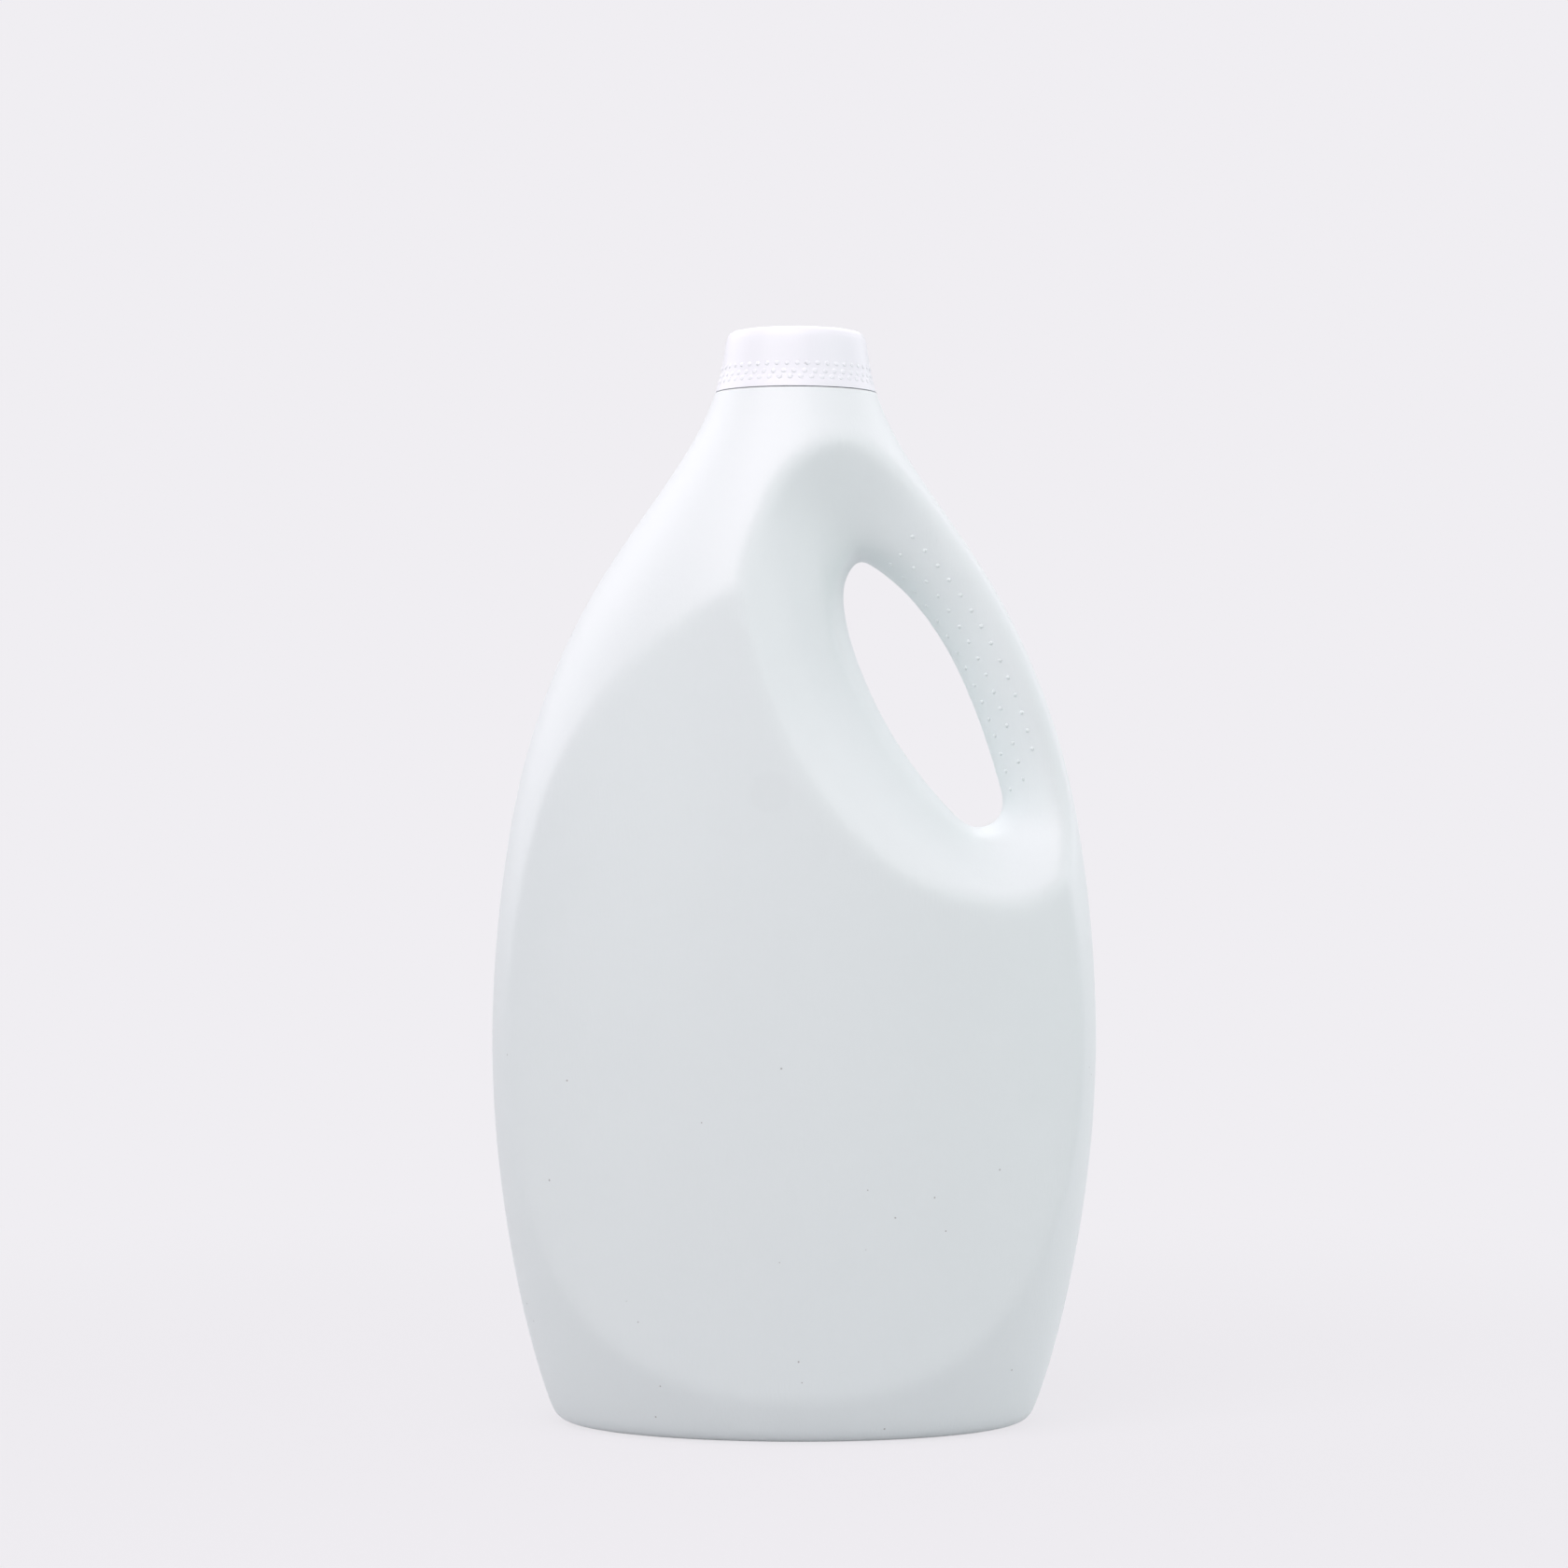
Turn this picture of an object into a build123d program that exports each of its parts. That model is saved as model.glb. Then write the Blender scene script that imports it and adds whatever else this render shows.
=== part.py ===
"""Laundry detergent bottle: blow-moulded body with a through handle, pouring insert, screw cap and cap liner.

Millimetres, +Z up, origin in the middle of the base. The front panel faces -Y and the handle is on the +X side.
"""
import os
from math import hypot, sqrt

from build123d import *

# Bottle body
wall = 1.3
shoulder_height = 292.4
shoulder_radius = 23.0
panel_half_depth = 49.0
panel_radius = 140.0
edge_radius = 5.0
base_corner_radius = 6.0
push_up_height = 4.0
push_up_half_width = 50.0
push_up_half_depth = 29.0
push_up_draft = 7.0

# The pillow form behind the panels: height, half width, half depth
stations = [
    (0.0, 67.0, 45.0),
    (20.0, 73.9, 51.5),
    (50.0, 80.6, 60.0),
    (105.0, 85.9, 68.0),
    (150.0, 83.5, 66.0),
    (185.0, 77.5, 62.5),
    (212.0, 68.8, 56.5),
    (238.0, 56.0, 49.0),
    (260.0, 41.4, 39.0),
    (278.0, 29.6, 29.3),
    (shoulder_height, shoulder_radius, shoulder_radius),
]

# Handle: the finger gap at mid depth as (x, z, depth of its lip, rounding of its lip), and where its dished recess
# meets the panel plane as (x, z)
finger_gap = [
    (19.6, 244.6, 13.0, 2.5),
    (28.2, 238.4, 11.0, 4.0),
    (41.0, 223.0, 10.0, 5.0),
    (51.3, 201.8, 10.0, 5.0),
    (58.3, 180.5, 9.0, 5.0),
    (58.8, 173.2, 8.0, 4.0),
    (52.4, 169.0, 12.0, 2.5),
    (44.0, 174.3, 17.0, 2.5),
    (30.6, 191.1, 20.0, 2.5),
    (19.4, 212.4, 20.0, 2.5),
    (13.8, 233.7, 20.0, 2.5),
    (14.9, 240.6, 16.0, 2.5),
]
recess_rim = [
    (2.3, 327.8),
    (60.0, 380.0),
    (162.0, 308.0),
    (182.0, 262.0),
    (166.0, 204.0),
    (116.0, 150.0),
    (66.9, 138.4),
    (43.1, 147.4),
    (18.4, 167.6),
    (-1.1, 195.7),
    (-12.8, 232.2),
    (-19.0, 274.7),
]
lip_draft = 0.2
# Depths at which the recess is outlined, as shares of the panel's half depth
recess_levels = [0.0, 0.1, 0.2, 0.3, 0.4, 0.51, 0.64, 0.8, 1.02, 1.25]

# Neck finish and thread
neck_radius = 16.6
neck_height = 13.6
bore_radius = 14.4
thread_pitch = 4.2
thread_turns = 1.25
thread_depth = 1.2
thread_root_width = 1.7
thread_crest_width = 0.8
thread_start = 6.4

# Pouring insert
fit_clearance = 0.05
flange_thickness = 1.2
flange_margin = 0.3
collar_wall = 1.2
collar_depth = 16.0
well_floor_thickness = 1.2
spout_bore_radius = 9.4
spout_wall = 1.1
spout_lip_drop = 0.6
spout_lip_slope = 20.0
drain_slot_width = 4.0

# Cap and liner
seam_gap = 0.4
thread_clearance = 0.5
cap_top_thickness = 1.6
cap_edge_radius = 3.0
cap_rim_wall = 1.6
cap_skirt_start = 2.8
# How far the flank stands in from the shoulder, and at which share of the cap's height
cap_flank = [(0.1, 0.0), (1.25, 0.2), (2.0, 0.43), (2.6, 0.7), (3.1, 1.0)]
liner_thickness = 1.2
liner_margin = 0.9

# Sizes that follow from the ones above
neck_top = shoulder_height + neck_height
flange_top = neck_top + flange_thickness
cap_ceiling = flange_top + liner_thickness
cap_bottom = shoulder_height + seam_gap
cap_top = cap_ceiling + cap_top_thickness
cap_bore_radius = neck_radius + thread_depth + thread_clearance
collar_radius = bore_radius - fit_clearance
well_radius = collar_radius - collar_wall
collar_bottom = neck_top - collar_depth
spout_radius = spout_bore_radius + spout_wall
spout_lip_height = flange_top - spout_lip_drop


def recess_opening(depth: float, reach: float, lip_depth: float, lip_rounding: float) -> float:
    """How far the recess has opened at a depth, when it opens by reach at the panel plane."""

    def spread(distance: float) -> float:
        return hypot(distance - lip_depth, lip_rounding) + hypot(distance + lip_depth, lip_rounding)

    dish = (spread(depth) - spread(0.0)) / (spread(panel_half_depth) - spread(0.0))
    return lip_draft * abs(depth) + (reach - lip_draft * panel_half_depth) * dish


def recess_section(depth: float, growth: float) -> list[tuple[float, float]]:
    """Outline of the handle recess in the plane that lies depth away from mid depth, its face moved by growth."""
    points = []
    for i, (x, z, *lip) in enumerate(finger_gap):
        x_before, z_before = finger_gap[i - 1][:2]
        x_after, z_after = finger_gap[(i + 1) % len(finger_gap)][:2]
        run, rise = x_after - x_before, z_after - z_before
        x_rim, z_rim = recess_rim[i]
        reach = hypot(x_rim - x, z_rim - z)
        share = recess_opening(depth, reach, *lip) / reach
        # A face that leans outwards moves further within the plane for the same growth
        slope = recess_opening(depth + 0.5, reach, *lip) - recess_opening(depth - 0.5, reach, *lip)
        move = growth * hypot(1.0, slope) / hypot(run, rise)
        points.append((x + (x_rim - x) * share - move * rise, z + (z_rim - z) * share + move * run))
    return points


def moulded_form(inset: float) -> Part:
    """Body up to the shoulder ledge, with every face moved inwards by inset."""
    with BuildPart() as recess:
        for share in [-s for s in reversed(recess_levels[1:])] + recess_levels:
            depth = share * panel_half_depth
            with BuildSketch(Plane.XZ.offset(-depth)):
                with BuildLine():
                    Spline(recess_section(depth, inset), periodic=True)
                make_face()
        loft()

    with BuildPart() as push_up:
        with BuildSketch(Plane.XY):
            Ellipse(push_up_half_width + inset, push_up_half_depth + inset)
        with BuildSketch(Plane.XY.offset(push_up_height + inset)):
            Ellipse(push_up_half_width - push_up_draft + inset, push_up_half_depth - push_up_draft + inset)
        loft()

    with BuildPart() as form:
        for height, half_width, half_depth in stations:
            with BuildSketch(Plane.XY.offset(height)):
                Ellipse(half_width - inset, half_depth - inset)
        loft()
        # The two panels are upright arcs that meet beyond the sides
        radius = panel_radius - inset
        half_depth = panel_half_depth - inset
        half_width = sqrt(radius**2 - (radius - half_depth) ** 2)
        with BuildSketch(Plane.XY.offset(inset)):
            with BuildLine():
                ThreePointArc((-half_width, 0), (0, -half_depth), (half_width, 0))
                ThreePointArc((half_width, 0), (0, half_depth), (-half_width, 0))
            make_face()
        extrude(amount=shoulder_height - 2 * inset, mode=Mode.INTERSECT)
        fillet(form.edges().group_by(Axis.Z)[0], radius=base_corner_radius - inset)
        add(recess.part, mode=Mode.SUBTRACT)
        # Panel creases and recess rims are the tall edges that stay on one side of mid depth
        soft_edges = []
        for edge in form.edges():
            box = edge.bounding_box()
            if box.min.Y * box.max.Y > 0 and box.size.Z > base_corner_radius:
                soft_edges.append(edge)
        fillet(soft_edges, radius=edge_radius - inset)
        add(push_up.part, mode=Mode.SUBTRACT)
    return form.part


def thread_ridge(radius: float, depth: float, start: float) -> Part:
    """Helical thread of the neck finish on a wall of the given radius; a negative depth points inwards."""
    sink = 0.3 if depth > 0 else -0.3
    with BuildPart() as ridge:
        with BuildLine(Plane.XY.offset(start)) as path:
            Helix(pitch=thread_pitch, height=thread_pitch * thread_turns, radius=radius)
        with BuildSketch(Plane(origin=path.line @ 0, x_dir=(1, 0, 0), z_dir=path.line % 0)):
            with BuildLine():
                Polyline(
                    (-sink, -thread_root_width / 2),
                    (0, -thread_root_width / 2),
                    (depth, -thread_crest_width / 2),
                    (depth, thread_crest_width / 2),
                    (0, thread_root_width / 2),
                    (-sink, thread_root_width / 2),
                    close=True,
                )
            make_face()
        sweep(path=path.line, is_frenet=True)
    return ridge.part


with BuildPart() as bottle_body:
    add(moulded_form(0.0))
    with BuildSketch(Plane.XY.offset(shoulder_height)):
        Circle(neck_radius)
    extrude(amount=neck_height)
    add(thread_ridge(neck_radius, thread_depth, shoulder_height + thread_start))
    add(moulded_form(wall), mode=Mode.SUBTRACT)
    with BuildSketch(Plane.XY.offset(neck_top)):
        Circle(bore_radius)
    extrude(amount=-neck_height - 2 * wall, mode=Mode.SUBTRACT)

# The lip of the spout slopes down from the pouring side to the drain slot
with BuildPart() as spout_tube:
    with BuildSketch(Plane.XY.offset(collar_bottom)):
        Circle(spout_radius)
    extrude(amount=spout_lip_height - collar_bottom)
    split(
        bisect_by=Plane(origin=(0, -spout_radius, spout_lip_height)).rotated((-spout_lip_slope, 0, 0)),
        keep=Keep.BOTTOM,
    )

with BuildPart() as pour_spout:
    with BuildSketch(Plane.XY.offset(collar_bottom)):
        Circle(collar_radius)
    extrude(amount=collar_depth)
    with BuildSketch(Plane.XY.offset(neck_top)):
        Circle(neck_radius - flange_margin)
    extrude(amount=flange_thickness)
    with BuildSketch(Plane.XY.offset(flange_top)):
        Circle(well_radius)
    extrude(amount=well_floor_thickness - collar_depth - flange_thickness, mode=Mode.SUBTRACT)
    add(spout_tube.part)
    with BuildSketch(Plane.XY.offset(collar_bottom)):
        Circle(spout_bore_radius)
    extrude(amount=collar_depth + flange_thickness, mode=Mode.SUBTRACT)
    with BuildSketch(Plane.XY.offset(collar_bottom + well_floor_thickness)):
        with Locations((0, spout_bore_radius)):
            Rectangle(drain_slot_width, 3 * spout_wall)
    extrude(amount=collar_depth, mode=Mode.SUBTRACT)

with BuildPart() as screw_cap:
    with BuildSketch(Plane.XZ):
        with BuildLine():
            cap_height = cap_top - cap_bottom
            flank = [(shoulder_radius - inwards, cap_bottom + share * cap_height) for inwards, share in cap_flank]
            Spline(flank)
            Polyline(
                flank[-1],
                (0, cap_top),
                (0, cap_ceiling),
                (cap_bore_radius, cap_ceiling),
                (cap_bore_radius, cap_bottom + cap_skirt_start),
                (flank[0][0] - cap_rim_wall, cap_bottom),
                flank[0],
            )
        make_face()
    revolve(axis=Axis.Z)
    fillet(screw_cap.edges().group_by(Axis.Z)[-1], radius=cap_edge_radius)
    add(thread_ridge(cap_bore_radius, -thread_depth, shoulder_height + thread_start - thread_pitch / 2))

with BuildPart() as cap_liner:
    with BuildSketch(Plane.XY.offset(flange_top)):
        Circle(cap_bore_radius - liner_margin)
    extrude(amount=liner_thickness)

os.makedirs("parts", exist_ok=True)
bottle_body.part.label = "bottle_body"
export_step(bottle_body.part, "parts/bottle_body.step")
pour_spout.part.label = "pour_spout"
export_step(pour_spout.part, "parts/pour_spout.step")
screw_cap.part.label = "screw_cap"
export_step(screw_cap.part, "parts/screw_cap.step")
cap_liner.part.label = "cap_liner"
export_step(cap_liner.part, "parts/cap_liner.step")
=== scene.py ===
"""Looks of a laundry detergent bottle.

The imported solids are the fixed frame. This script wraps the bottle in a smooth moulded skin with
its grip dots, turns the cap with its dot rows, carries the insert and the liner over, and gives
each piece its finish. A pale floor, soft light and a level camera complete the scene. Lengths are
metres.
"""
import logging
import math
from abc import ABC, abstractmethod
from collections.abc import Sequence
from dataclasses import dataclass
from enum import Enum

import bmesh
import bpy
from mathutils import Matrix, Vector
from mathutils.bvhtree import BVHTree


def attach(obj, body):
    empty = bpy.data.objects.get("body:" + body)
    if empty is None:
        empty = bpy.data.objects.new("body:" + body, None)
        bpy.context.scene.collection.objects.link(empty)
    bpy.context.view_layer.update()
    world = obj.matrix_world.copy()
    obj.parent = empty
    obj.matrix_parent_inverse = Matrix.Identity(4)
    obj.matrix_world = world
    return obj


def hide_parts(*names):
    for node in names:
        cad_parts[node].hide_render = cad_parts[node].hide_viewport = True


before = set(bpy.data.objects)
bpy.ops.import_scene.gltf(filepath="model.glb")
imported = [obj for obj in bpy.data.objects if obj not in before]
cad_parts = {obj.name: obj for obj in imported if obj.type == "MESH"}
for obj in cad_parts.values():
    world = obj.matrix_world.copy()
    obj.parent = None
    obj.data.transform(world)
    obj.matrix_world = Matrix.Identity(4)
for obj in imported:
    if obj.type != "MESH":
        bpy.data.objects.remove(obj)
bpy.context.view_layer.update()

log = logging.getLogger("laundry_bottle")

Colour = tuple[float, float, float]
Place = tuple[float, float, float]
Profile = Sequence[tuple[float, float]]
Sockets = dict[str, bpy.types.NodeSocket]

# Shapes
FULL_TURN = 2 * math.pi
ORIGIN = (0, 0, 0)
UPWARD = (0, 0, 1)
MERGE_DISTANCE = 1e-6
CUT_TOLERANCE = 1e-7
SMOOTHING = 0.5
DOME_SUBDIVISIONS = 2
SHARP_ANGLE = math.radians(30)

# Shared effects
NODE_SPACING = 180.0
GRAIN_STRETCH = (1.0, 1.0, 0.22)
GRAIN_DETAIL = 3.0
GRAIN_BREAKUP = 0.55
GRAIN_MIDDLE = 0.5
CLOUD_DETAIL = 4.0
CLOUD_RANGE = (0.35, 0.68)
ROUGHNESS_RIPPLE = 0.16
SPECK_STRENGTH = 0.6


class Side(Enum):
    """The two faces of the bottle, by the sign of Y."""

    FRONT = -1.0
    BACK = 1.0


class Finish(Enum):
    """Groups of shader nodes that several finishes share."""

    GRAIN = "moulding_grain"
    SPECKS = "dust_specks"


class ShaderTree:
    """Short calls for placing and joining shader nodes in one tree."""

    def __init__(self, tree: bpy.types.NodeTree) -> None:
        """Keep the tree that nodes are added to.

        Args:
            tree: A material's, a world's or a group's node tree.
        """
        self.tree = tree
        self.column = 0

    def add(
        self, kind: str, inputs: dict[str, object] | None = None, **settings: object
    ) -> bpy.types.Node:
        """Place one node.

        Args:
            kind: The node's type name, such as ShaderNodeMath.
            inputs: Values or sockets for the node's inputs, by name or by position written as text.
            **settings: Properties of the node.

        Returns:
            The new node.
        """
        node = self.tree.nodes.new(kind)
        self.column += 1
        node.location = (self.column * NODE_SPACING, 0.0)
        for name, value in settings.items():
            setattr(node, name, value)
        for name, value in (inputs or {}).items():
            socket = node.inputs[int(name)] if name.isdigit() else node.inputs[name]
            if isinstance(value, bpy.types.NodeSocket):
                self.tree.links.new(value, socket)
            else:
                socket.default_value = value
        return node

    def math(self, operation: str, first: object, second: object = 0.0) -> bpy.types.NodeSocket:
        """Place a Math node.

        Args:
            operation: The node's operation, such as MULTIPLY.
            first: Value or socket for the first input.
            second: Value or socket for the second input.

        Returns:
            The node's output.
        """
        node = self.add("ShaderNodeMath", {"0": first, "1": second}, operation=operation)
        return node.outputs[0]

    def mix(self, share: object, first: object, second: object) -> bpy.types.NodeSocket:
        """Mix two colours.

        Args:
            share: Value or socket, 0 for the first colour and 1 for the second.
            first: Colour or socket.
            second: Colour or socket.

        Returns:
            The mixed colour.
        """
        node = self.add("ShaderNodeMix", {"0": share, "6": first, "7": second}, data_type="RGBA")
        return node.outputs[2]

    def ramp(
        self, value: object, low: float, high: float, start: float, end: float
    ) -> bpy.types.NodeSocket:
        """Map a range of values smoothly to another one.

        Args:
            value: Socket to map.
            low: Value that gives start.
            high: Value that gives end.
            start: Output at low.
            end: Output at high.

        Returns:
            The mapped value.
        """
        inputs = {"Value": value, "From Min": low, "From Max": high, "To Min": start, "To Max": end}
        node = self.add("ShaderNodeMapRange", inputs, interpolation_type="SMOOTHSTEP")
        return node.outputs["Result"]


def rgba(colour: Colour) -> tuple[float, float, float, float]:
    """Give a colour its alpha."""
    return (*colour, 1.0)


def new_material(name: str) -> tuple[bpy.types.Material, ShaderTree]:
    """Start an empty material.

    Args:
        name: The material's name.

    Returns:
        The material and its tree.
    """
    material = bpy.data.materials.new(name)
    material.use_nodes = True
    material.node_tree.nodes.clear()
    return material, ShaderTree(material.node_tree)


def new_group(
    finish: Finish, takes: dict[str, str], gives: dict[str, str]
) -> tuple[ShaderTree, Sockets, Sockets]:
    """Start a shader node group.

    Args:
        finish: The group's name.
        takes: Input names with their socket types.
        gives: Output names with their socket types.

    Returns:
        The group's tree, its input sockets by name and the output node's sockets by name.
    """
    tree = bpy.data.node_groups.new(finish.value, "ShaderNodeTree")
    for name, kind in takes.items():
        tree.interface.new_socket(name, in_out="INPUT", socket_type=kind)
    for name, kind in gives.items():
        tree.interface.new_socket(name, in_out="OUTPUT", socket_type=kind)
    shader = ShaderTree(tree)
    start = shader.add("NodeGroupInput")
    end = shader.add("NodeGroupOutput")
    return shader, {s.name: s for s in start.outputs}, {s.name: s for s in end.inputs}


def moulding_grain() -> bpy.types.NodeTree:
    """Build the grain of moulded plastic, once.

    Returns:
        A group that gives a clouded colour, a roughness and the height of the upright grain.
    """
    made = bpy.data.node_groups.get(Finish.GRAIN.value)
    if made:
        return made
    shader, take, give = new_group(
        Finish.GRAIN,
        {
            "Vector": "NodeSocketVector",
            "Tone": "NodeSocketColor",
            "Cloud Tone": "NodeSocketColor",
            "Cloud Scale": "NodeSocketFloat",
            "Grain Scale": "NodeSocketFloat",
            "Roughness": "NodeSocketFloat",
        },
        {"Color": "NodeSocketColor", "Roughness": "NodeSocketFloat", "Height": "NodeSocketFloat"},
    )
    stretched = shader.add(
        "ShaderNodeVectorMath", {"0": take["Vector"], "1": GRAIN_STRETCH}, operation="MULTIPLY"
    ).outputs[0]
    grain = shader.add(
        "ShaderNodeTexNoise",
        {
            "Vector": stretched,
            "Scale": take["Grain Scale"],
            "Detail": GRAIN_DETAIL,
            "Roughness": GRAIN_BREAKUP,
        },
    ).outputs[0]
    cloud = shader.add(
        "ShaderNodeTexNoise",
        {"Vector": take["Vector"], "Scale": take["Cloud Scale"], "Detail": CLOUD_DETAIL},
    ).outputs[0]
    share = shader.ramp(cloud, *CLOUD_RANGE, 0.0, 1.0)
    colour = shader.mix(share, take["Tone"], take["Cloud Tone"])
    centred = shader.math("SUBTRACT", grain, GRAIN_MIDDLE)
    ripple = shader.math("MULTIPLY", centred, ROUGHNESS_RIPPLE)
    shader.tree.links.new(colour, give["Color"])
    shader.tree.links.new(shader.math("ADD", take["Roughness"], ripple), give["Roughness"])
    shader.tree.links.new(grain, give["Height"])
    return shader.tree


def dust_specks() -> bpy.types.NodeTree:
    """Build the scattered dust specks, once.

    Returns:
        A group that darkens a colour at small far-apart specks below a given height.
    """
    made = bpy.data.node_groups.get(Finish.SPECKS.value)
    if made:
        return made
    shader, take, give = new_group(
        Finish.SPECKS,
        {
            "Vector": "NodeSocketVector",
            "Color": "NodeSocketColor",
            "Speck Tone": "NodeSocketColor",
            "Cell Scale": "NodeSocketFloat",
            "Speck Size": "NodeSocketFloat",
            "Clear Height": "NodeSocketFloat",
        },
        {"Color": "NodeSocketColor"},
    )
    cells = shader.add(
        "ShaderNodeTexVoronoi",
        {"Vector": take["Vector"], "Scale": take["Cell Scale"]},
        feature="F1",
    )
    dot = shader.math("LESS_THAN", cells.outputs["Distance"], take["Speck Size"])
    height = shader.add("ShaderNodeSeparateXYZ", {"0": take["Vector"]}).outputs[2]
    low = shader.math("LESS_THAN", height, take["Clear Height"])
    strength = shader.math("MULTIPLY", shader.math("MULTIPLY", dot, low), SPECK_STRENGTH)
    shader.tree.links.new(shader.mix(strength, take["Color"], take["Speck Tone"]), give["Color"])
    return shader.tree


@dataclass(frozen=True)
class MouldMark:
    """A small round mark on the front of a piece."""

    x: float
    z: float
    radius: float
    softness: float
    depth: float
    shade: float = 0.5

    def darken(
        self,
        shader: ShaderTree,
        place: bpy.types.NodeSocket,
        colour: bpy.types.NodeSocket,
        tone: Colour,
    ) -> bpy.types.NodeSocket:
        """Darken a colour inside the mark.

        Args:
            shader: The material's tree.
            place: Object coordinates.
            colour: Colour without the mark.
            tone: The piece's own tone.

        Returns:
            Colour with the mark.
        """
        axes = shader.add("ShaderNodeSeparateXYZ", {"0": place})
        across = shader.math("SUBTRACT", axes.outputs[0], self.x)
        up = shader.math("SUBTRACT", axes.outputs[2], self.z)
        square = shader.math(
            "ADD", shader.math("POWER", across, 2.0), shader.math("POWER", up, 2.0)
        )
        away = shader.math("SQRT", square)
        inner, outer = self.radius - self.softness, self.radius + self.softness
        disc = shader.ramp(away, inner, outer, self.depth, 0.0)
        front = shader.math("LESS_THAN", axes.outputs[1], 0.0)
        shaded = rgba(tuple(self.shade * c for c in tone))
        return shader.mix(shader.math("MULTIPLY", disc, front), colour, shaded)


@dataclass(frozen=True)
class MouldedPlastic:
    """Satin white plastic with upright grain, faint clouding and a few dust specks."""

    name: str
    tone: Colour
    cloud_tone: Colour
    roughness: float
    cloud_scale: float = 9.0
    grain_scale: float = 1400.0
    grain_height: float = 0.00004
    speck_tone: Colour = (0.30, 0.29, 0.28)
    speck_cells: float = 130.0
    speck_size: float = 0.037
    clear_height: float = 0.11
    ior: float = 1.5
    specular: float = 0.4
    mark: MouldMark | None = None

    def material(self) -> bpy.types.Material:
        """Build the finish.

        Returns:
            The material.
        """
        material, shader = new_material(self.name)
        place = shader.add("ShaderNodeTexCoord").outputs["Object"]
        grain = shader.add(
            "ShaderNodeGroup",
            {
                "Vector": place,
                "Tone": rgba(self.tone),
                "Cloud Tone": rgba(self.cloud_tone),
                "Cloud Scale": self.cloud_scale,
                "Grain Scale": self.grain_scale,
                "Roughness": self.roughness,
            },
            node_tree=moulding_grain(),
        )
        specks = shader.add(
            "ShaderNodeGroup",
            {
                "Vector": place,
                "Color": grain.outputs["Color"],
                "Speck Tone": rgba(self.speck_tone),
                "Cell Scale": self.speck_cells,
                "Speck Size": self.speck_size,
                "Clear Height": self.clear_height,
            },
            node_tree=dust_specks(),
        )
        colour = specks.outputs["Color"]
        if self.mark:
            colour = self.mark.darken(shader, place, colour, self.tone)
        bump = shader.add(
            "ShaderNodeBump",
            {
                "Height": grain.outputs["Height"],
                "Strength": 1.0,
                "Distance": self.grain_height,
            },
        )
        surface = shader.add(
            "ShaderNodeBsdfPrincipled",
            {
                "Base Color": colour,
                "Roughness": grain.outputs["Roughness"],
                "Normal": bump.outputs[0],
                "IOR": self.ior,
                "Specular IOR Level": self.specular,
            },
        )
        shader.add("ShaderNodeOutputMaterial", {"Surface": surface.outputs[0]})
        return material


@dataclass(frozen=True)
class SealFoam:
    """Soft closed-cell foam of the cap liner, with painted shade in its pore dips."""

    name: str = "seal_foam"
    tone: Colour = (0.78, 0.78, 0.75)
    # Painted shade: darker colour for the pore dips that the bump sinks
    pore_shade_tone: Colour = (0.66, 0.66, 0.63)
    pore_scale: float = 1600.0
    pore_range: tuple[float, float] = (0.1, 0.6)
    pore_depth: float = 0.00008
    roughness: float = 0.75

    def material(self) -> bpy.types.Material:
        """Build the finish.

        Returns:
            The material.
        """
        material, shader = new_material(self.name)
        place = shader.add("ShaderNodeTexCoord").outputs["Object"]
        cells = shader.add("ShaderNodeTexVoronoi", {"Vector": place, "Scale": self.pore_scale})
        pores = cells.outputs["Distance"]
        # Painted shade: the colour darkens towards each pore's centre, where the bump dips
        share = shader.ramp(pores, *self.pore_range, 1.0, 0.0)
        colour = shader.mix(share, rgba(self.tone), rgba(self.pore_shade_tone))
        bump = shader.add(
            "ShaderNodeBump", {"Height": pores, "Strength": 1.0, "Distance": self.pore_depth}
        )
        surface = shader.add(
            "ShaderNodeBsdfPrincipled",
            {"Base Color": colour, "Roughness": self.roughness, "Normal": bump.outputs[0]},
        )
        shader.add("ShaderNodeOutputMaterial", {"Surface": surface.outputs[0]})
        return material


def seen_ray(shader: ShaderTree) -> bpy.types.NodeSocket:
    """Tell rays that show the backdrop from rays that light the object.

    Args:
        shader: The tree that takes the nodes.

    Returns:
        1 for camera, glossy and transmission rays.
    """
    rays = shader.add("ShaderNodeLightPath").outputs
    shiny = shader.math("MAXIMUM", rays["Is Glossy Ray"], rays["Is Transmission Ray"])
    return shader.math("MAXIMUM", rays["Is Camera Ray"], shiny)


@dataclass(frozen=True)
class FloorPaper:
    """Pale paper that keeps a soft shadow near the bottle and runs out into the backdrop."""

    backdrop: Colour
    name: str = "floor_paper"
    tone: Colour = (0.75, 0.74, 0.76)
    shading: float = 0.15
    shaded_reach: tuple[float, float] = (0.16, 0.6)

    def material(self) -> bpy.types.Material:
        """Build the finish.

        Returns:
            The material.
        """
        material, shader = new_material(self.name)
        paper = shader.add("ShaderNodeBsdfDiffuse", {"Color": rgba(self.tone)})
        glow = shader.add("ShaderNodeEmission", {"Color": rgba(self.backdrop), "Strength": 1.0})
        place = shader.add("ShaderNodeTexCoord").outputs["Object"]
        length = shader.add("ShaderNodeVectorMath", {"0": place}, operation="LENGTH")
        away = length.outputs["Value"]
        plain = shader.ramp(away, *self.shaded_reach, 1.0 - self.shading, 1.0)
        share = shader.math("MULTIPLY", seen_ray(shader), plain)
        both = shader.add(
            "ShaderNodeMixShader", {"0": share, "1": paper.outputs[0], "2": glow.outputs[0]}
        )
        shader.add("ShaderNodeOutputMaterial", {"Surface": both.outputs[0]})
        return material


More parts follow.
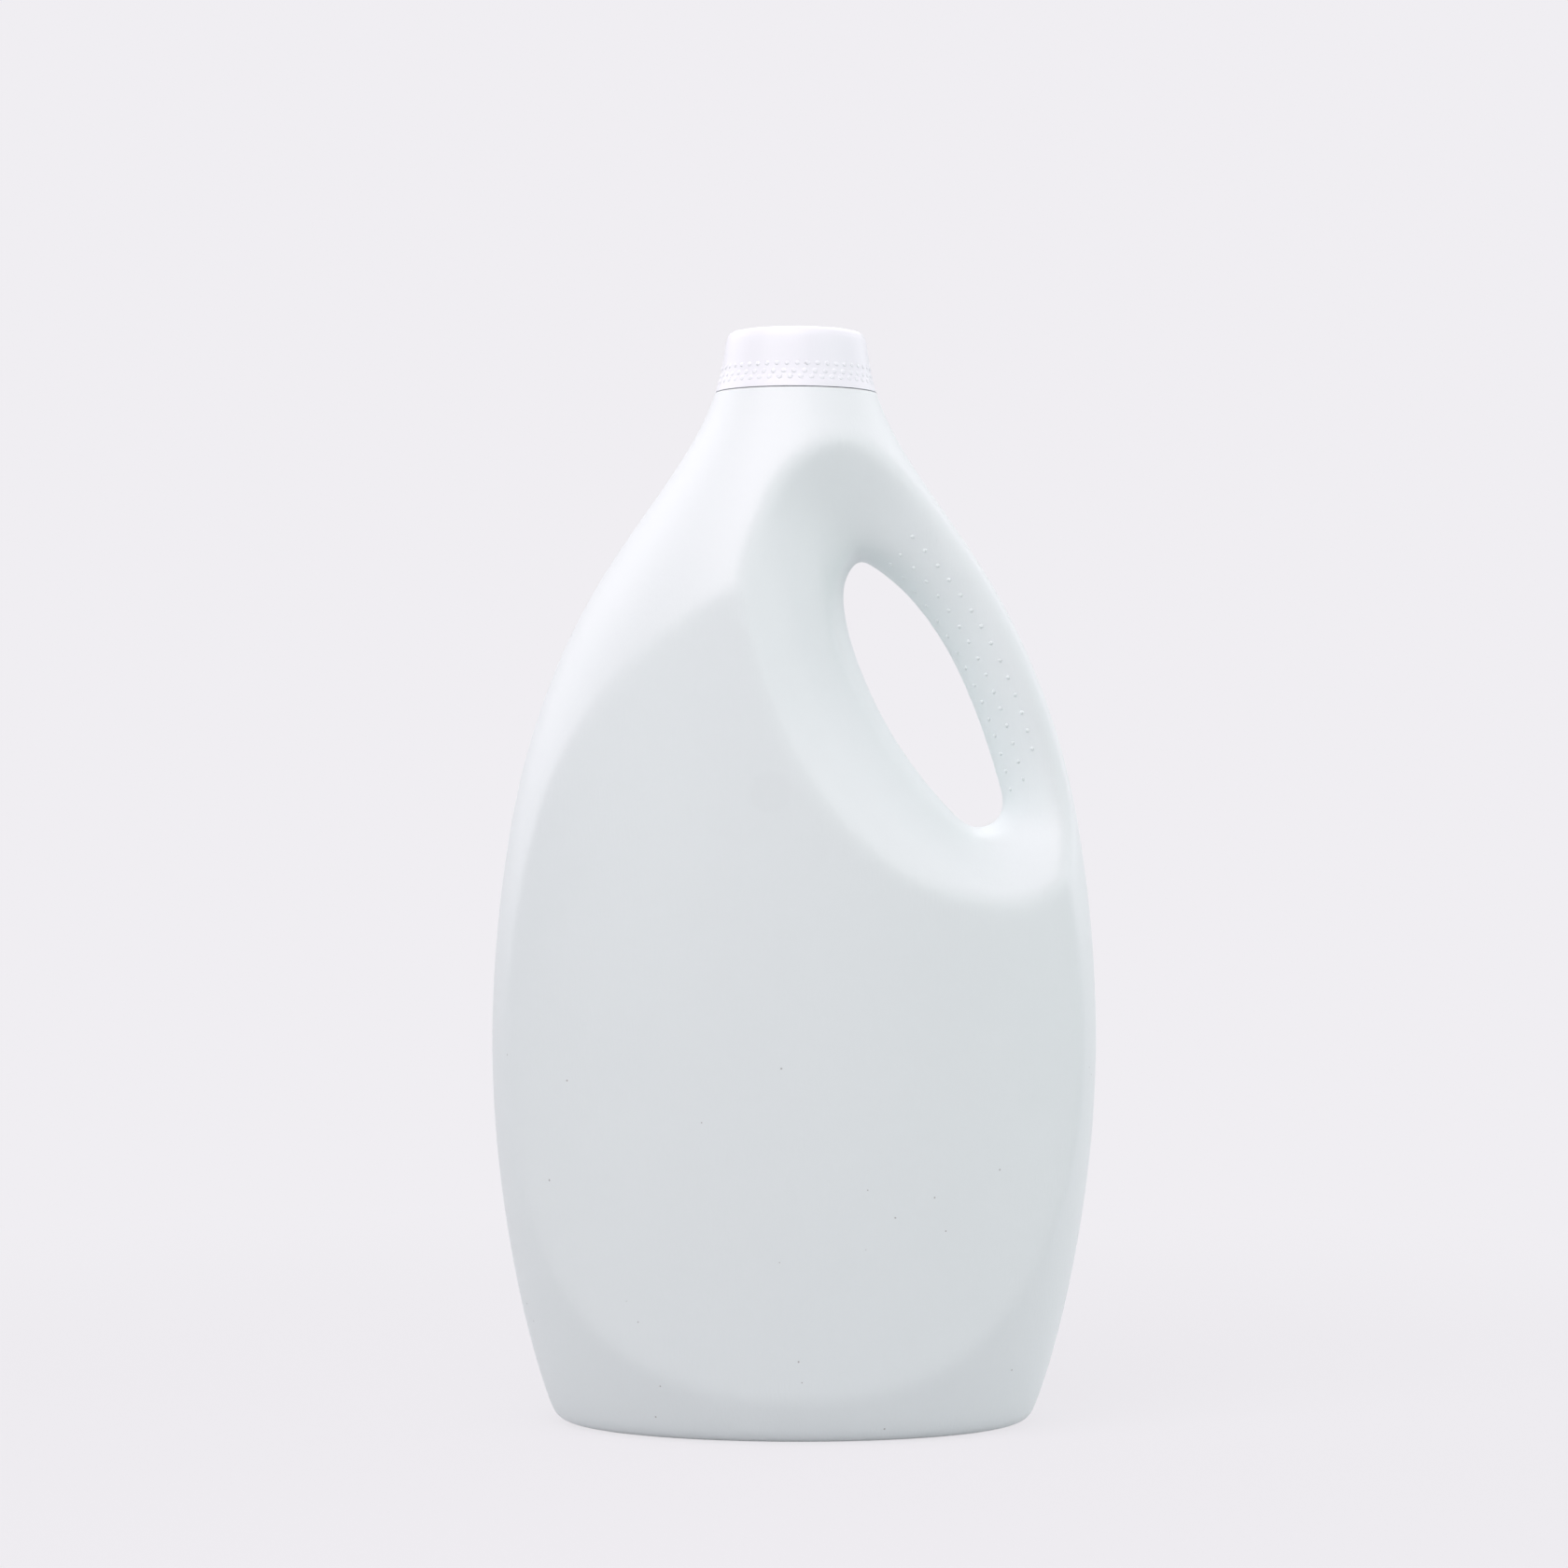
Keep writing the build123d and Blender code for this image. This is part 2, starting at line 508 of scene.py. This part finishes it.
def mesh_piece(name: str, shape: bmesh.types.BMesh, sharp_angle: float) -> bpy.types.Object:
    """Turn a finished shape into an object at the origin.

    Args:
        name: The piece's name.
        shape: The shape, which is freed.
        sharp_angle: Edges bent more than this, in radians, stay sharp.

    Returns:
        The linked object.
    """
    mesh = bpy.data.meshes.new(name)
    shape.to_mesh(mesh)
    shape.free()
    mesh.shade_smooth()
    mesh.set_sharp_from_angle(angle=sharp_angle)
    piece = bpy.data.objects.new(name, mesh)
    bpy.context.scene.collection.objects.link(piece)
    return piece


def merged_copy(node: str) -> bmesh.types.BMesh:
    """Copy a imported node's mesh with its loose triangles joined.

    Args:
        node: The node's name.

    Returns:
        The joined shape.
    """
    shape = bmesh.new()
    shape.from_mesh(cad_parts[node].data)
    bmesh.ops.remove_doubles(shape, verts=shape.verts, dist=MERGE_DISTANCE)
    return shape


def absorb(shape: bmesh.types.BMesh, other: bmesh.types.BMesh) -> None:
    """Add one shape to another.

    Args:
        shape: The shape that takes the other one.
        other: The shape to add, which is freed.
    """
    passed = bpy.data.meshes.new("passed_shape")
    other.to_mesh(passed)
    other.free()
    shape.from_mesh(passed)
    bpy.data.meshes.remove(passed)


def open_edges(shape: bmesh.types.BMesh) -> list[bmesh.types.BMEdge]:
    """List the edges that have a face on one side only."""
    return [edge for edge in shape.edges if edge.is_boundary]


def cut_above(shape: bmesh.types.BMesh, height: float) -> None:
    """Cut a shape level and drop what is above.

    Args:
        shape: The shape to cut.
        height: Height of the cut.
    """
    bmesh.ops.bisect_plane(
        shape,
        geom=list(shape.verts) + list(shape.edges) + list(shape.faces),
        plane_co=(0, 0, height),
        plane_no=UPWARD,
        clear_outer=True,
        dist=CUT_TOLERANCE,
    )


def connected(start: bmesh.types.BMVert) -> set[bmesh.types.BMVert]:
    """Collect the vertices that hang together with one vertex.

    Args:
        start: Any vertex of the island.

    Returns:
        The island's vertices.
    """
    found = {start}
    waiting = [start]
    while waiting:
        for edge in waiting.pop().link_edges:
            for vertex in edge.verts:
                if vertex not in found:
                    found.add(vertex)
                    waiting.append(vertex)
    return found


def voxel_skin(shape: bmesh.types.BMesh, voxel: float, passes: int) -> bmesh.types.BMesh:
    """Lay an even, smooth skin over a closed shape.

    Args:
        shape: The closed shape, which is freed.
        voxel: Spacing of the skin's vertices.
        passes: Rounds of smoothing.

    Returns:
        The skin.
    """
    rough = bpy.data.meshes.new("rough_skin")
    shape.to_mesh(rough)
    shape.free()
    holder = bpy.data.objects.new("rough_skin", rough)
    bpy.context.scene.collection.objects.link(holder)
    remesh = holder.modifiers.new("even_skin", "REMESH")
    remesh.mode = "VOXEL"
    remesh.voxel_size = voxel
    remesh.adaptivity = 0.0
    graph = bpy.context.evaluated_depsgraph_get()
    even = bpy.data.meshes.new_from_object(holder.evaluated_get(graph))
    skin = bmesh.new()
    skin.from_mesh(even)
    bpy.data.objects.remove(holder)
    bpy.data.meshes.remove(rough)
    bpy.data.meshes.remove(even)
    for _ in range(passes):
        bmesh.ops.smooth_vert(
            skin,
            verts=skin.verts,
            factor=SMOOTHING,
            use_axis_x=True,
            use_axis_y=True,
            use_axis_z=True,
        )
    return skin


def raise_rings(
    shape: bmesh.types.BMesh, edges: list[bmesh.types.BMEdge], profile: Profile
) -> None:
    """Extrude an open loop through round rings about the Z axis.

    Args:
        shape: The shape that holds the loop.
        edges: The loop's edges.
        profile: Radius and height of each ring, in order.
    """
    for radius, height in profile:
        made = bmesh.ops.extrude_edge_only(shape, edges=edges)["geom"]
        ring = {item for item in made if isinstance(item, bmesh.types.BMVert)}
        for vertex in ring:
            flat = Vector((vertex.co.x, vertex.co.y)).normalized() * radius
            vertex.co = (flat.x, flat.y, height)
        made_edges = [item for item in made if isinstance(item, bmesh.types.BMEdge)]
        edges = [e for e in made_edges if e.verts[0] in ring and e.verts[1] in ring]


def add_dome(
    shape: bmesh.types.BMesh, centre: Vector, normal: Vector, radius: float, height: float
) -> None:
    """Set one small dome on a surface.

    Args:
        shape: The shape that takes the dome.
        centre: Point on the surface.
        normal: The surface's outward normal there.
        radius: Radius of the dome's foot.
        height: How far it stands out.
    """
    turn = normal.to_track_quat("Z", "Y").to_matrix().to_4x4()
    size = Matrix.Diagonal((1.0, 1.0, height / radius, 1.0))
    bmesh.ops.create_icosphere(
        shape,
        subdivisions=DOME_SUBDIVISIONS,
        radius=radius,
        matrix=Matrix.Translation(centre) @ turn @ size,
    )


@dataclass(frozen=True)
class ScrewThread:
    """The helical ridge that neck and cap share."""

    pitch: float = 0.0042
    turns: float = 1.25
    depth: float = 0.0012
    root_width: float = 0.0017
    crest_width: float = 0.0008
    sink: float = 0.0003
    steps_per_turn: int = 72
    end_sides: int = 8

    def add(self, shape: bmesh.types.BMesh, radius: float, start: float, inward: bool) -> None:
        """Wind the ridge on a round wall.

        Args:
            shape: The shape that takes the ridge.
            radius: Radius of the wall.
            start: Height of the ridge's first end.
            inward: True for a ridge that points at the axis.
        """
        sign = -1.0 if inward else 1.0
        section = [
            (radius - sign * self.sink, -self.root_width / 2),
            (radius + sign * self.depth, -self.crest_width / 2),
            (radius + sign * self.depth, self.crest_width / 2),
            (radius - sign * self.sink, self.root_width / 2),
        ]
        ridge = bmesh.new()
        corners = [ridge.verts.new((r, 0.0, start + z)) for r, z in section]
        edges = [ridge.edges.new((corners[i - 1], corners[i])) for i in range(len(corners))]
        steps = round(self.steps_per_turn * self.turns)
        bmesh.ops.spin(
            ridge,
            geom=corners + edges,
            cent=ORIGIN,
            axis=UPWARD,
            dvec=(0, 0, self.pitch * self.turns / steps),
            angle=FULL_TURN * self.turns,
            steps=steps,
        )
        bmesh.ops.holes_fill(ridge, edges=open_edges(ridge), sides=self.end_sides)
        bmesh.ops.recalc_face_normals(ridge, faces=ridge.faces)
        absorb(shape, ridge)


@dataclass(frozen=True)
class DotRow:
    """A row of grip dots along a bent line on the handle, as seen from the front."""

    start: tuple[float, float]
    bend: tuple[float, float]
    end: tuple[float, float]
    count: int
    radius: float = 0.0006
    height: float = 0.00035
    fine_steps: int = 200

    def places(self) -> list[tuple[float, float]]:
        """Space the dots evenly along the row.

        Returns:
            X and Z of each dot.
        """
        fine = [self._point(i / self.fine_steps) for i in range(self.fine_steps + 1)]
        walked = [0.0]
        for a, b in zip(fine, fine[1:]):
            walked.append(walked[-1] + (b - a).length)
        spots = []
        for i in range(self.count):
            goal = walked[-1] * i / (self.count - 1)
            nearest = min(range(len(fine)), key=lambda k: abs(walked[k] - goal))
            spots.append((fine[nearest].x, fine[nearest].y))
        return spots

    def _point(self, share: float) -> Vector:
        """Give the row's point at a share of its run."""
        a, b, c = Vector(self.start), Vector(self.bend), Vector(self.end)
        return a * (1 - share) ** 2 + b * 2 * share * (1 - share) + c * share**2


@dataclass(kw_only=True)
class Assembly(ABC):
    """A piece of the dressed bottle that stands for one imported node."""

    name: str
    node: str
    body: str
    slot: str
    finish: MouldedPlastic | SealFoam
    sharp_angle: float = SHARP_ANGLE

    @abstractmethod
    def build(self) -> bpy.types.Object:
        """Model the piece."""

    def dress(self, piece: bpy.types.Object) -> None:
        """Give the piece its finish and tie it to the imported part.

        Args:
            piece: The modelled piece.
        """
        piece.data.materials.append(self.finish.material())
        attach(piece, self.body)
        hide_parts(self.node)


@dataclass(kw_only=True)
class BottleBody(Assembly):
    """Blow-moulded body: outer skin, lining, neck finish with its thread, and grip dots."""

    name: str = "bottle"
    node: str = "bottle_body"
    body: str = "bottle"
    slot: str = "bottle_plastic"
    skin_voxel: float = 0.0013
    lining_voxel: float = 0.0026
    skin_passes: int = 8
    lining_passes: int = 4
    open_height: float = 0.2900
    trim_height: float = 0.2845
    sharp_angle: float = math.radians(40)
    shoulder: Profile = (
        (0.02553, 0.2860),
        (0.02489, 0.2875),
        (0.02428, 0.2890),
        (0.02377, 0.2903),
        (0.02343, 0.2912),
    )
    neck: Profile = (
        (0.02314, 0.29205),
        (0.02304, 0.29229),
        (0.02292, 0.29238),
        (0.02260, 0.29240),
        (0.01705, 0.29240),
        (0.01675, 0.29250),
        (0.01660, 0.29280),
        (0.01660, 0.30545),
        (0.01648, 0.30580),
        (0.01615, 0.30600),
        (0.01475, 0.30600),
        (0.01448, 0.30588),
        (0.01440, 0.30560),
        (0.01440, 0.29140),
        (0.01470, 0.29110),
    )
    lining_top: Profile = (
        (0.02421, 0.2860),
        (0.02356, 0.2875),
        (0.02295, 0.2890),
        (0.02245, 0.2903),
        (0.02190, 0.2911),
    )
    thread: ScrewThread = ScrewThread()
    thread_start: float = 0.2988
    neck_radius: float = 0.0166
    ray_start: float = 0.2
    grip_rows: tuple[DotRow, ...] = (
        DotRow((0.0329, 0.2510), (0.0591, 0.2234), (0.0669, 0.1914), 14),
        DotRow((0.0296, 0.2459), (0.0534, 0.2245), (0.0645, 0.1828), 15),
        DotRow((0.0269, 0.2434), (0.0514, 0.2194), (0.0611, 0.1799), 15),
    )
    finish: MouldedPlastic = MouldedPlastic(
        name="bottle_polyethylene",
        tone=(0.788, 0.836, 0.84),
        cloud_tone=(0.773, 0.822, 0.828),
        roughness=0.42,
        mark=MouldMark(x=-0.0069, z=0.179, radius=0.0056, softness=0.0012, depth=0.03),
    )

    def build(self) -> bpy.types.Object:
        """Model the body.

        Returns:
            The piece.
        """
        solid = merged_copy(self.node)
        cut_above(solid, self.open_height)
        outside = connected(max(solid.verts, key=lambda v: abs(v.co.x)))
        lining = solid.copy()
        solid.verts.index_update()
        outer = {v.index for v in outside}
        lining.verts.ensure_lookup_table()
        bmesh.ops.delete(lining, geom=[lining.verts[i] for i in outer], context="VERTS")
        inside = [v for v in solid.verts if v not in outside]
        bmesh.ops.delete(solid, geom=inside, context="VERTS")
        skin = self._skin(solid, self.skin_voxel, self.skin_passes)
        tree = BVHTree.FromBMesh(skin)
        inner = self._skin(lining, self.lining_voxel, self.lining_passes)
        self._join(skin, inner)
        self.thread.add(skin, self.neck_radius, self.thread_start, inward=False)
        for row in self.grip_rows:
            for side in Side:
                self._dots(skin, tree, row, side)
        return mesh_piece(self.name, skin, self.sharp_angle)

    def _skin(self, shape: bmesh.types.BMesh, voxel: float, passes: int) -> bmesh.types.BMesh:
        """Close one wall surface at the top and lay a smooth skin over it.

        Args:
            shape: The open wall surface, which is freed.
            voxel: Spacing of the skin's vertices.
            passes: Rounds of smoothing.

        Returns:
            The skin, open at the trim height.
        """
        bmesh.ops.holes_fill(shape, edges=open_edges(shape), sides=0)
        bmesh.ops.recalc_face_normals(shape, faces=shape.faces)
        skin = voxel_skin(shape, voxel, passes)
        cut_above(skin, self.trim_height)
        return skin

    def _join(self, skin: bmesh.types.BMesh, inner: bmesh.types.BMesh) -> None:
        """Carry the skin up the neck and down the bore to the lining.

        Args:
            skin: The outer skin, which takes the lining.
            inner: The lining, which is freed.
        """
        raise_rings(skin, open_edges(skin), (*self.shoulder, *self.neck))
        raise_rings(inner, open_edges(inner), self.lining_top)
        absorb(skin, inner)
        bmesh.ops.bridge_loops(skin, edges=open_edges(skin))
        bmesh.ops.recalc_face_normals(skin, faces=skin.faces)

    def _dots(self, skin: bmesh.types.BMesh, tree: BVHTree, row: DotRow, side: Side) -> None:
        """Set one row of grip dots on one side of the handle.

        Args:
            skin: The shape that takes the dots.
            tree: Search tree of the skin without dots.
            row: The row.
            side: The side of the bottle.
        """
        ahead = Vector((0, -side.value, 0))
        for x, z in row.places():
            start = Vector((x, side.value * self.ray_start, z))
            place, normal, _, _ = tree.ray_cast(start, ahead)
            if place is not None:
                add_dome(skin, place, normal, row.radius, row.height)


@dataclass(frozen=True)
class CapDotRow:
    """A row of small dots around the cap."""

    height: float
    wall_radius: float
    dot_radius: float
    shift: float
    count: int = 46
    lean: float = 0.25


@dataclass(kw_only=True)
class ScrewCap(Assembly):
    """Flared screw cap with its dot rows and inner thread."""

    name: str = "cap"
    node: str = "screw_cap"
    body: str = "cap"
    slot: str = "cap_plastic"
    segments: int = 128
    sharp_angle: float = math.radians(35)
    bore_radius: float = 0.0183
    thread: ScrewThread = ScrewThread()
    thread_start: float = 0.2967
    section: Profile = (
        (0.0, 0.3084),
        (0.0176, 0.3084),
        (0.01812, 0.30818),
        (0.0183, 0.3077),
        (0.0183, 0.2956),
        (0.0213, 0.29272),
        (0.0215, 0.29262),
        (0.0228, 0.29262),
        (0.0229, 0.29272),
        (0.02262, 0.2937),
        (0.02216, 0.2950),
        (0.02176, 0.2963),
        (0.0214, 0.2979),
        (0.02108, 0.2999),
        (0.0208, 0.3018),
        (0.02052, 0.3038),
        (0.02022, 0.3056),
        (0.01995, 0.3070),
        (0.0196, 0.3082),
        (0.0189, 0.30915),
        (0.0180, 0.30968),
        (0.0169, 0.30992),
        (0.0155, 0.3100),
        (0.0, 0.3100),
    )
    dot_rows: tuple[CapDotRow, ...] = (
        CapDotRow(0.29535, 0.02205, 0.0008, 0.43),
        CapDotRow(0.29705, 0.02158, 0.00078, -0.21),
        CapDotRow(0.29925, 0.02118, 0.0007, 0.09),
    )
    dot_height: float = 0.0002
    finish: MouldedPlastic = MouldedPlastic(
        name="cap_polypropylene",
        tone=(0.84, 0.86, 0.895),
        cloud_tone=(0.83, 0.85, 0.885),
        roughness=0.38,
        grain_scale=1100.0,
        grain_height=0.00002,
        clear_height=0.0,
        mark=MouldMark(x=0.0026, z=0.2991, radius=0.0004, softness=0.0002, depth=0.4),
    )

    def build(self) -> bpy.types.Object:
        """Turn the cap and set its thread and dots.

        Returns:
            The piece.
        """
        shape = bmesh.new()
        points = [shape.verts.new((r, 0.0, z)) for r, z in self.section]
        edges = [shape.edges.new(pair) for pair in zip(points, points[1:])]
        bmesh.ops.spin(
            shape,
            geom=points + edges,
            cent=ORIGIN,
            axis=UPWARD,
            angle=FULL_TURN,
            steps=self.segments,
            use_merge=True,
        )
        bmesh.ops.remove_doubles(shape, verts=shape.verts, dist=MERGE_DISTANCE)
        bmesh.ops.recalc_face_normals(shape, faces=shape.faces)
        self.thread.add(shape, self.bore_radius, self.thread_start, inward=True)
        for row in self.dot_rows:
            self._dots(shape, row)
        return mesh_piece(self.name, shape, self.sharp_angle)

    def _dots(self, shape: bmesh.types.BMesh, row: CapDotRow) -> None:
        """Set one row of dots around the cap.

        Args:
            shape: The shape that takes the dots.
            row: The row.
        """
        for i in range(row.count):
            angle = FULL_TURN * (i + row.shift) / row.count - math.pi / 2
            out = Vector((math.cos(angle), math.sin(angle), 0.0))
            place = out * row.wall_radius + Vector((0, 0, row.height))
            normal = (out + Vector((0, 0, row.lean))).normalized()
            add_dome(shape, place, normal, row.dot_radius, self.dot_height)


@dataclass(kw_only=True)
class CarriedPiece(Assembly):
    """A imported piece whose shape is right, with its triangles joined and its shading smoothed."""

    def build(self) -> bpy.types.Object:
        """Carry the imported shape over."""
        return mesh_piece(self.name, merged_copy(self.node), self.sharp_angle)


@dataclass(frozen=True)
class SoftLight:
    """A square soft light that points at the bottle."""

    name: str
    place: Place
    size: float
    power: float
    colour: Colour
    aim: Place = (0.0, 0.0, 0.16)

    def build(self) -> None:
        """Hang the light."""
        data = bpy.data.lights.new(self.name, "AREA")
        data.size = self.size
        data.energy = self.power
        data.color = self.colour
        lamp = bpy.data.objects.new(self.name, data)
        lamp.location = self.place
        ahead = Vector(self.aim) - Vector(self.place)
        lamp.rotation_euler = ahead.to_track_quat("-Z", "Y").to_euler()
        bpy.context.scene.collection.objects.link(lamp)


@dataclass
class Studio:
    """Floor, surrounding light, lamps and camera."""

    backdrop: Colour = (0.871, 0.855, 0.888)
    ambient: Colour = (0.95, 0.98, 1.0)
    ambient_strength: float = 0.13
    floor_size: float = 12.0
    floor_segments: int = 4
    camera_place: Place = (-0.0031, -1.197, 0.1812)
    camera_tilt: float = math.radians(90)
    camera_roll: float = math.radians(-0.16)
    lens: float = 96.43
    sensor: float = 36.0
    lights: tuple[SoftLight, ...] = (
        SoftLight("overhead", (-0.17, -0.38, 0.80), 0.7, 4.5, (1.0, 0.90, 0.955)),
        SoftLight("right", (1.10, -0.45, 0.46), 0.9, 5.2, (0.93, 1.0, 0.975)),
        SoftLight("left", (-0.92, -1.00, 0.46), 0.9, 3.9, (0.90, 1.0, 0.95)),
        SoftLight("back_right", (0.90, 0.50, 0.60), 0.9, 3.8, (1.0, 0.94, 1.0)),
        SoftLight("back_left", (-0.90, 0.50, 0.60), 0.9, 3.4, (1.0, 0.94, 1.0)),
        SoftLight("back_top", (0.0, 0.70, 1.00), 0.9, 3.2, (0.97, 1.0, 0.99)),
    )

    def build(self) -> None:
        """Set the stage, the lights and the camera."""
        self._world()
        self._floor()
        for light in self.lights:
            light.build()
        self._camera()
        bpy.context.scene.view_settings.view_transform = "Standard"

    def _world(self) -> None:
        """Light the scene evenly and show the plain backdrop to the camera."""
        world = bpy.data.worlds.new("studio_air")
        bpy.context.scene.world = world
        world.use_nodes = True
        world.node_tree.nodes.clear()
        shader = ShaderTree(world.node_tree)
        seen = seen_ray(shader)
        air = shader.add(
            "ShaderNodeBackground",
            {"Color": rgba(self.ambient), "Strength": self.ambient_strength},
        )
        shown = shader.add("ShaderNodeBackground", {"Color": rgba(self.backdrop), "Strength": 1.0})
        both = shader.add(
            "ShaderNodeMixShader", {"0": seen, "1": air.outputs[0], "2": shown.outputs[0]}
        )
        shader.add("ShaderNodeOutputWorld", {"Surface": both.outputs[0]})

    def _floor(self) -> None:
        """Lay the pale floor."""
        shape = bmesh.new()
        segments = self.floor_segments
        bmesh.ops.create_grid(
            shape, x_segments=segments, y_segments=segments, size=self.floor_size / 2
        )
        floor = mesh_piece("floor", shape, SHARP_ANGLE)
        floor.data.materials.append(FloorPaper(self.backdrop).material())

    def _camera(self) -> None:
        """Stand the level camera in front of the bottle."""
        data = bpy.data.cameras.new("camera")
        data.sensor_fit = "HORIZONTAL"
        data.sensor_width = self.sensor
        data.lens = self.lens
        data.dof.use_dof = False
        camera = bpy.data.objects.new("camera", data)
        camera.location = self.camera_place
        camera.rotation_euler = (self.camera_tilt, self.camera_roll, 0.0)
        bpy.context.scene.collection.objects.link(camera)
        bpy.context.scene.camera = camera


def main() -> None:
    """Build every piece in order, then the studio."""
    logging.basicConfig(level=logging.INFO, format="%(name)s: %(message)s")
    insert_finish = MouldedPlastic(
        name="insert_polyethylene",
        tone=(0.80, 0.81, 0.82),
        cloud_tone=(0.78, 0.79, 0.80),
        roughness=0.4,
        clear_height=0.0,
    )
    assemblies: list[Assembly] = [
        BottleBody(),
        CarriedPiece(
            name="pouring_insert",
            node="pour_spout",
            body="bottle",
            slot="spout_plastic",
            finish=insert_finish,
        ),
        CarriedPiece(
            name="liner", node="cap_liner", body="liner", slot="liner_foam", finish=SealFoam()
        ),
        ScrewCap(),
    ]
    for assembly in assemblies:
        piece = assembly.build()
        assembly.dress(piece)
        log.info("%s: %d faces", piece.name, len(piece.data.polygons))
    Studio().build()


if __name__ == "__main__":
    main()
